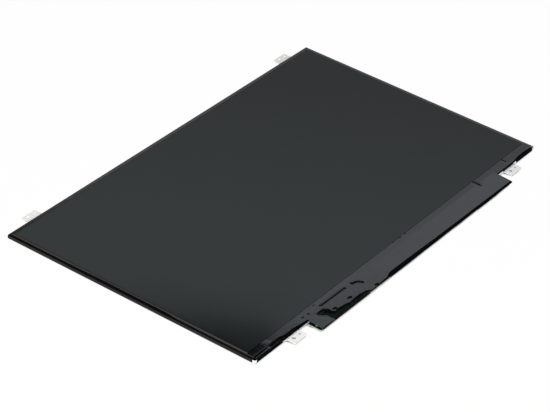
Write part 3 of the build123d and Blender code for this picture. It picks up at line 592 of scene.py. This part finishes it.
coverTapeForm = {
    "thick": 0.08,
    "upperEdge": -85.62,
    "glassEdge": -90.0,
    "glassLevel": 3.05,
    "ends": (-158.4, 158.4),
    "tongue": (-106.8, 113.2),
    "fineUntil": -46.0,
    "fineStep": 0.35,
    "coarseStep": 0.8,
    "crossStep": 1.0,  # across a slit, a nick or a seam, in one
    "seam": 0.02,
    "rows": 92,
    "borderRows": 28,
    "borderEnd": -89.4,
    "boardEdge": -104.02,
    "boardTop": 1.9,
    "boardUnder": 1.32,
    "wall": (-92.92, 2.5),
    "flangeEnds": (-132.6, 137.3),
    "wallLow": 0.5,
    "skirtLow": 1.45,
    "freeDrop": 0.25,
    "sideBend": 0.35,
    "boardBend": 0.12,
    "foldLeft": [
        (-158.4, -90.2), (-151, -89.8), (-142, -89.4), (-133.5, -89.8), (-128.5, -91.2), (-121, -90.9),
        (-110, -92.5), (-106.8, -92.6),
    ],
    "foldRight": [
        (113.2, -92.5), (137.2, -92.4), (138.1, -91.8), (142.9, -91.3), (149.1, -91.2), (154.5, -91.8),
        (158.4, -92.3),
    ],
    "foldDroop": 0.02,
    "ledge": [(-91.5, 2.77), (-92.3, 2.75)],  # a flat step in the fold, up to the corner
    "ledgeEnd": -144.5,
    "bareEdge": (-56.0, -33.0),  # here it doesn't turn down over the board's edge
    "bareFrom": 0.02,  # below the board's top
    "rollWidth": [
        (-106.8, 0.5), (-60, 0.5), (-36, 0.8), (-31, 2.9), (-12, 2.8), (20, 2.1), (113.2, 1.2),
    ],
    "rollLift": [
        (-106.8, 0.12), (-60, 0.12), (-48, 0.24), (-31, 0.7), (-12, 0.67), (20, 0.5), (113.2, 0.29),
    ],
    "rollSteps": 7,
    "rollCurve": 1.3,
    "slits": [(92.4, 93.6, 6.0), (129.05, 130.15, 3.9)],  # left, right and length
    "nicks": [(-3.0, -2.0, 0.7), (4.3, 5.6, 1.0), (10.2, 11.8, 0.7)],
    "lip": (0.7, 0.09),  # the film lifts along a slit: reach and height
    "tear": [
        (-97.6, -94.7), (-95.3, -94.3), (-92.1, -94.7), (-90.5, -96.1), (-90.3, -98.6), (-87.6, -100.0),
        (-78.0, -101.0), (-74.2, -102.0), (-69.2, -101.6), (-62.8, -101.8), (-57.9, -102.6),
        (-56.0, -103.9), (-94.0, -103.9), (-93.4, -102.9), (-93.9, -100.4), (-93.8, -98.4), (-95.7, -96.7),
    ],
    "creases": [  # points, width, height
        ([(-89.0, -90.3), (-78.0, -90.5), (-65.0, -90.6)], 0.55, 0.17),
        ([(-56.8, -91.6), (-54.3, -92.1), (-52.4, -93.3), (-51.6, -94.6)], 0.65, 0.2),
    ],
    "creaseReach": 4.0,  # this and the next in widths
    "creaseFade": 1.6,
    "dents": [  # place, radii and depth, or the height of a bubble with a minus sign
        (-106.0, -89.2, 1.0, 0.7, -0.1),
        (-101.1, -89.5, 0.9, 0.7, -0.1),
        (-92.0, -87.2, 0.9, 0.6, -0.1),
        (-70.2, -98.4, 1.4, 0.7, 0.26),
        (-85.7, -98.0, 1.2, 0.7, 0.22),
        (-47.3, -102.9, 1.2, 0.7, 0.2),
    ],
    "pleats": (4, 0.115),  # rows to each and height: it puckers towards the near corner
    "pleatSpan": (-137.0, -147.0),
    "pleatEnd": -90.2,
    "pleatWaver": (0.9, 0.2, 4.0, 2.3),  # mean, swing, length and seed
    "wave": 0.014,
    "waves": [(1.0, 9.0, 4.0, 0.3), (0.5, 3.5, 2.0, 4.1)],  # share, length along and across, seed
    "reliefFrom": 0.1,  # above the board's top
    "tearDroop": (0.9, 0.26),  # the film falls to the board round the tear: reach and depth
    "rest": 0.02,  # the film stands off what it lies on by this much
    "restLevels": [(-90.05, 3.05), (-92.6, 2.62), (-110.0, 1.92)],  # what lies under it, by its lower end
    "topLevel": 3.165,
    "smoothAngle": 27,
}


def tapeColumns(form):
    left, right = form["ends"]
    tongueLeft, tongueRight = form["tongue"]
    coarse = form["coarseStep"]
    cross = form["crossStep"]
    seam = form["seam"]
    stops = [(left, coarse), (tongueLeft - seam, cross), (tongueLeft, form["fineStep"])]
    stops += [(form["fineUntil"], coarse)]
    for slitLeft, slitRight, _ in form["slits"] + form["nicks"]:
        stops += [(slitLeft, cross), (slitRight, coarse)]
    stops += [(tongueRight, cross), (tongueRight + seam, coarse), (right, cross)]
    stops.sort()
    columns = []
    for (start, step), (end, _) in zip(stops, stops[1:]):
        count = max(1, round((end - start) / step))
        columns += [start + (end - start) * i / count for i in range(count)]
    return columns + [right]


def tapePath(x, form):
    glass = form["glassLevel"]
    start = (form["borderEnd"], glass)
    wallY, wallTop = form["wall"]
    tongueLeft, tongueRight = form["tongue"]
    count = form["rows"] - form["borderRows"]
    halfSeam = form["seam"] / 2
    if x < tongueLeft - halfSeam or x > tongueRight + halfSeam:
        foldY = between(x, form["foldLeft"] if x < 0 else form["foldRight"])
        fold = (foldY, glass - form["foldDroop"] * max(0.0, form["glassEdge"] - foldY))
        flangeLeft, flangeRight = form["flangeEnds"]
        if 0 < x < flangeRight:
            corners = [start, fold, (wallY, fold[1] - form["freeDrop"])]
        else:
            low = form["skirtLow"] if flangeLeft < x < 0 else form["wallLow"]
            ledge = form["ledge"] if x < form["ledgeEnd"] else []
            corners = [start, fold] + ledge + [(wallY, wallTop), (wallY, low)]
        return spreadAlong(roundedPath(corners, form["sideBend"]), count)
    edge = form["boardEdge"]
    top = form["boardTop"]
    roll = between(x, form["rollWidth"])
    lift = between(x, form["rollLift"])
    corners = [start, (form["glassEdge"], glass)]
    for step in range(form["rollSteps"]):
        across = step / (form["rollSteps"] - 1)
        level = top + form["rest"] + lift * (1 - across ** form["rollCurve"])
        corners.append((edge + roll * (1 - across), level))
    corners += [(edge, top), (edge, form["boardUnder"])]
    return spreadAlong(roundedPath(corners, form["boardBend"]), count)


def creaseHeight(x, y, crease, form):
    points, width, height = crease
    best = None
    for (x0, y0), (x1, y1) in zip(points, points[1:]):
        run = math.hypot(x1 - x0, y1 - y0)
        along = ((x - x0) * (x1 - x0) + (y - y0) * (y1 - y0)) / run
        side = ((y - y0) * (x1 - x0) - (x - x0) * (y1 - y0)) / run
        past = max(0.0, -along, along - run)
        away = math.hypot(side, past)
        if best is None or away < best[0]:
            best = (away, side, past)
    away, side, past = best
    if away > form["creaseReach"] * width:
        return 0.0
    fade = math.exp(-((past / (form["creaseFade"] * width)) ** 2))
    return height * (side / width) * math.exp(0.5 - (side / width) ** 2 / 2) * fade


def polygonGap(x, y, polygon):
    gaps = []
    for (x0, y0), (x1, y1) in zip(polygon, polygon[1:] + polygon[:1]):
        run = (x1 - x0) ** 2 + (y1 - y0) ** 2
        part = max(0.0, min(1.0, ((x - x0) * (x1 - x0) + (y - y0) * (y1 - y0)) / run))
        gaps.append(math.hypot(x - x0 - part * (x1 - x0), y - y0 - part * (y1 - y0)))
    return min(gaps)


def pleatHeight(x, y, form):
    rows, height = form["pleats"]
    start, end = form["pleatSpan"]
    share = max(0.0, min(1.0, (x - start) / (end - start)))
    if y < form["pleatEnd"]:
        return 0.0
    pitch = rows * (form["upperEdge"] - form["borderEnd"]) / form["borderRows"]
    turn = (form["upperEdge"] - y) / pitch
    turn -= math.floor(turn + 1e-6)
    mean, swing, length, seed = form["pleatWaver"]
    waver = mean + swing * noise.noise((x / length, y, seed))
    return height * share * waver * min(turn * rows, (1 - turn) * rows / (rows - 1))


def tapeRelief(x, y, form):
    ripple = 0.0
    for share, along, across, seed in form["waves"]:
        ripple += share * noise.noise((x / along, y / across, seed))
    lift = form["wave"] * ripple
    lift += pleatHeight(x, y, form)
    for crease in form["creases"]:
        lift += creaseHeight(x, y, crease, form)
    reach, height = form["lip"]
    for slitLeft, slitRight, length in form["slits"]:
        away = max(slitLeft - x, x - slitRight, form["upperEdge"] - length - y, 0.0)
        lift += height * math.exp(-((away / reach) ** 2))
    if form["tongue"][0] < x < form["fineUntil"] and y < form["wall"][0]:
        reach, depth = form["tearDroop"]
        lift -= depth * math.exp(-polygonGap(x, y, form["tear"]) / reach)
    for dentX, dentY, radiusX, radiusY, depth in form["dents"]:
        off = ((x - dentX) / radiusX) ** 2 + ((y - dentY) / radiusY) ** 2
        lift -= depth * math.exp(-off)
    return lift


def makeCoverTape(form):
    columns = tapeColumns(form)
    paths = {}
    borderRows = form["borderRows"]

    def place(column, row):
        x = columns[column]
        if column not in paths:
            paths[column] = tapePath(x, form)
        if row < borderRows:
            y = form["upperEdge"] + (form["borderEnd"] - form["upperEdge"]) * row / borderRows
            z = form["glassLevel"]
        else:
            y, z = paths[column][row - borderRows]
        if z > form["boardTop"] + form["reliefFrom"]:
            rest = next(level for end, level in form["restLevels"] if y > end)
            z = max(min(rest, z) + form["rest"], z + tapeRelief(x, y, form))
        return x, y, min(z, form["topLevel"])

    piece = layGrid("coverTape", len(columns), form["rows"], place)
    tongueLeft, tongueRight = form["tongue"]
    seams = (tongueLeft - form["seam"], tongueLeft), (tongueRight, tongueRight + form["seam"])

    def unwanted(x, y, z):
        for slitLeft, slitRight, length in form["slits"] + form["nicks"]:
            if slitLeft < x < slitRight and y > form["upperEdge"] - length:
                return True
        for seamLeft, seamRight in seams:
            if seamLeft < x < seamRight and y < form["foldLeft"][-1][1]:
                return True
        bareLeft, bareRight = form["bareEdge"]
        if bareLeft < x < bareRight and z < form["boardTop"] - form["bareFrom"]:
            return True
        return tongueLeft < x < form["fineUntil"] and insidePolygon(x, y, form["tear"])

    cutFaces(piece, unwanted)
    finishSheet(piece, form["thick"], coverFilm, form["smoothAngle"])
    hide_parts("board_cover_tape")


makeCoverTape(coverTapeForm)
print("cover tape laid")


# Edge tapes: from the glass over the shoulder, down the flange and round to the back

edgeTapeForm = {
    "thick": 0.08,
    "halfWidth": 160.2,
    "halfHeight": 93.0,
    "lapInset": 2.9,
    "frontLevel": 3.05,
    "wallInset": 0.08,
    "flangeLevel": 2.5,
    "rearLevel": 0.2,
    "rearInset": 2.48,
    "shoulder": {  # inset where it turns down, by the place along the side
        "edge_tape_left": [(-93, 0.6), (-36, 0.6), (-27, 1.5), (20, 1.6), (45, 1.0), (93, 0.9)],
        "edge_tape_right": [(-93, 0.5), (93, 0.5)],
        "edge_tape_top": [(-160, 0.5), (160, 0.5)],
    },
    "rimRise": 0.09,  # it climbs this much from the glass to where it turns down
    "bend": 0.35,
    "rows": 40,
    "step": 1.2,
    "glassInset": 1.8,
    "lapEnd": -85.75,
    "shoulderEnd": (-90.0, -93.0),
    "cornerGap": {"edge_tape_left": 2.0, "edge_tape_right": 0.3},
    "edgeWander": 0.07,
    "wanderRange": (2.0, 0.9),  # inset where it starts, and how much further it is full
    "wanderLength": 14.0,
    "wanderSeed": 0.7,
    "topSeed": 5,
    "lapLevel": 3.0,  # above this it lies on the glass
    "earSpans": [(-140.0, -125.3), (130.0, 144.7)],
    "earTop": 1.9,
}


def edgeRows(nodeName, along, form):
    shoulder = between(along, form["shoulder"][nodeName])
    front = form["frontLevel"]
    wall = form["wallInset"]
    rear = form["rearLevel"]
    rim = front + form["rimRise"] * (form["lapInset"] - shoulder) / form["lapInset"]
    corners = [(form["lapInset"], front), (shoulder, rim), (wall, form["flangeLevel"]), (wall, rear)]
    return spreadAlong(roundedPath(corners + [(form["rearInset"], rear)], form["bend"]), form["rows"])


def wander(inset, level, along, seed, form):
    if level <= form["lapLevel"]:
        return 0.0
    start, run = form["wanderRange"]
    reach = max(0.0, min(1.0, (inset - start) / run))
    drift = noise.noise((along / form["wanderLength"], seed, form["wanderSeed"]))
    return form["edgeWander"] * reach * drift


def makeSideTape(pieceName, nodeName, side, form):
    halfHeight = form["halfHeight"]
    low = form["cornerGap"][nodeName] - halfHeight
    count = round((2 * halfHeight) / form["step"])
    lapLow, cornerLow = form["shoulderEnd"]
    paths = {}

    def place(column, row):
        if column not in paths:
            paths[column] = edgeRows(nodeName, low + (halfHeight - low) * column / (count - 1), form)
        inset, level = paths[column][row]
        start = low
        if level > form["flangeLevel"]:
            share = inset / form["glassInset"]
            start = max(low, cornerLow + (lapLow - cornerLow) * share) if share < 1 else form["lapEnd"]
        end = halfHeight - inset
        y = start + (end - start) * column / (count - 1)
        lap = inset + wander(inset, level, y, side, form)
        return side * (form["halfWidth"] - lap), y, level

    piece = layGrid(pieceName, count, form["rows"], place)
    if side < 0:
        flipFaces()
    finishSheet(piece, form["thick"], edgeFilm)
    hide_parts(nodeName)


def makeTopTape(form):
    rows = edgeRows("edge_tape_top", 0.0, form)
    count = round(2 * form["halfWidth"] / form["step"])

    def place(column, row):
        inset, level = rows[row]
        reach = form["halfWidth"] - inset
        x = -reach + 2 * reach * column / (count - 1)
        lap = inset + wander(inset, level, x, form["topSeed"], form)
        return x, form["halfHeight"] - lap, level

    piece = layGrid("edgeTapeTop", count, form["rows"], place)
    flipFaces()

    def unwanted(x, y, z):
        return z < form["earTop"] and any(left < x < right for left, right in form["earSpans"])

    cutFaces(piece, unwanted)
    finishSheet(piece, form["thick"], edgeFilm)
    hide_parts("edge_tape_top")


makeSideTape("edgeTapeLeft", "edge_tape_left", -1, edgeTapeForm)
makeSideTape("edgeTapeRight", "edge_tape_right", 1, edgeTapeForm)
makeTopTape(edgeTapeForm)
print("edge tapes laid")


# Chip parts on the rear of the board: a ceramic body between two tinned ends

def addBlock(low, high, edge, finish):
    bpy.ops.object.select_all(action="DESELECT")
    bpy.ops.mesh.primitive_cube_add(size=1, location=[(a + b) / 2 * mm for a, b in zip(low, high)])
    block = bpy.context.object
    block.scale = [(b - a) * mm for a, b in zip(low, high)]
    bpy.ops.object.transform_apply(location=True, rotation=True, scale=True)
    bevel = block.modifiers.new("edge", "BEVEL")
    bevel.width = edge * mm
    bevel.segments = 2
    bpy.ops.object.modifier_apply(modifier=bevel.name)
    block.data.materials.append(finish)
    return block


def pick(pieces):
    bpy.ops.object.select_all(action="DESELECT")
    for piece in pieces:
        piece.select_set(True)
    bpy.context.view_layer.objects.active = pieces[0]


def joinPieces(pieces, name):
    pick(pieces)
    bpy.ops.object.join()
    joined = bpy.context.object
    joined.name = name
    bpy.ops.object.transform_apply(location=True, rotation=True, scale=True)
    return joined


def makeChips(nodeName, form):
    boardLow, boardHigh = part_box("circuit_board")
    middle = (boardLow[1] + boardHigh[1]) / 2 / mm
    level = boardLow[2] / mm
    width, length, thick = form["size"]
    waist = form["waist"]
    end = form["end"]
    places = []
    for first, count, pitch, rise in form["rows"]:
        places += [(first + i * pitch, middle + rise) for i in range(count)]
    x, y = places[0]
    halfBody = width / 2 - waist
    halfGap = length / 2 - end
    body = addBlock(
        (x - halfBody, y - halfGap, level - thick + waist),
        (x + halfBody, y + halfGap, level),
        form["edge"] / 2,
        finishes[form["ceramic"]],
    )
    caps = []
    for inner, outer in ((halfGap, length / 2), (-length / 2, -halfGap)):
        low = x - width / 2, y + inner, level - thick
        high = x + width / 2, y + outer, level
        caps.append(addBlock(low, high, form["edge"], finishes["solder tin"]))
    copies = [joinPieces([body] + caps, form["name"])]
    for placeX, placeY in places[1:]:
        pick(copies[:1])
        bpy.ops.object.duplicate()
        bpy.ops.transform.translate(value=((placeX - x) * mm, (placeY - y) * mm, 0))
        copies.append(bpy.context.object)
    piece = joinPieces(copies, form["name"])
    bpy.ops.object.shade_smooth_by_angle(angle=math.radians(plainAngle))
    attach(piece, "root")
    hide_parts(nodeName)


ceramicCapacitorForm = {
    "name": "ceramicCapacitors",
    "size": (0.8, 1.6, 0.75),
    "end": 0.3,
    "waist": 0.04,
    "edge": 0.06,
    "ceramic": "capacitor ceramic",
    "rows": [(33.0, 5, 2.4, 3.3), (33.0, 5, 2.4, -3.2), (8.0, 5, 2.4, -3.0), (-30.0, 4, 2.4, -2.6)],
}
outputCapacitorForm = {
    "name": "outputCapacitors",
    "size": (1.6, 3.2, 0.95),
    "end": 0.5,
    "waist": 0.04,
    "edge": 0.1,
    "ceramic": "capacitor ceramic",
    "rows": [(-74.5, 2, 4.2, 2.6), (-79.0, 2, 4.2, -2.4), (-22.5, 2, 4.2, 2.4)],
}
chipResistorForm = {
    "name": "chipResistors",
    "size": (0.5, 1.0, 0.35),
    "end": 0.22,
    "waist": 0.02,
    "edge": 0.05,
    "ceramic": "resistor ceramic",
    "rows": [(32.0, 8, 1.6, 0.2), (8.0, 7, 1.6, 1.4), (-57.0, 4, 1.6, -3.6), (-92.0, 7, 1.6, 0.4)],
}
makeChips("ceramic_capacitors", ceramicCapacitorForm)
makeChips("output_capacitors", outputCapacitorForm)
makeChips("chip_resistors", chipResistorForm)
print("chip parts placed")
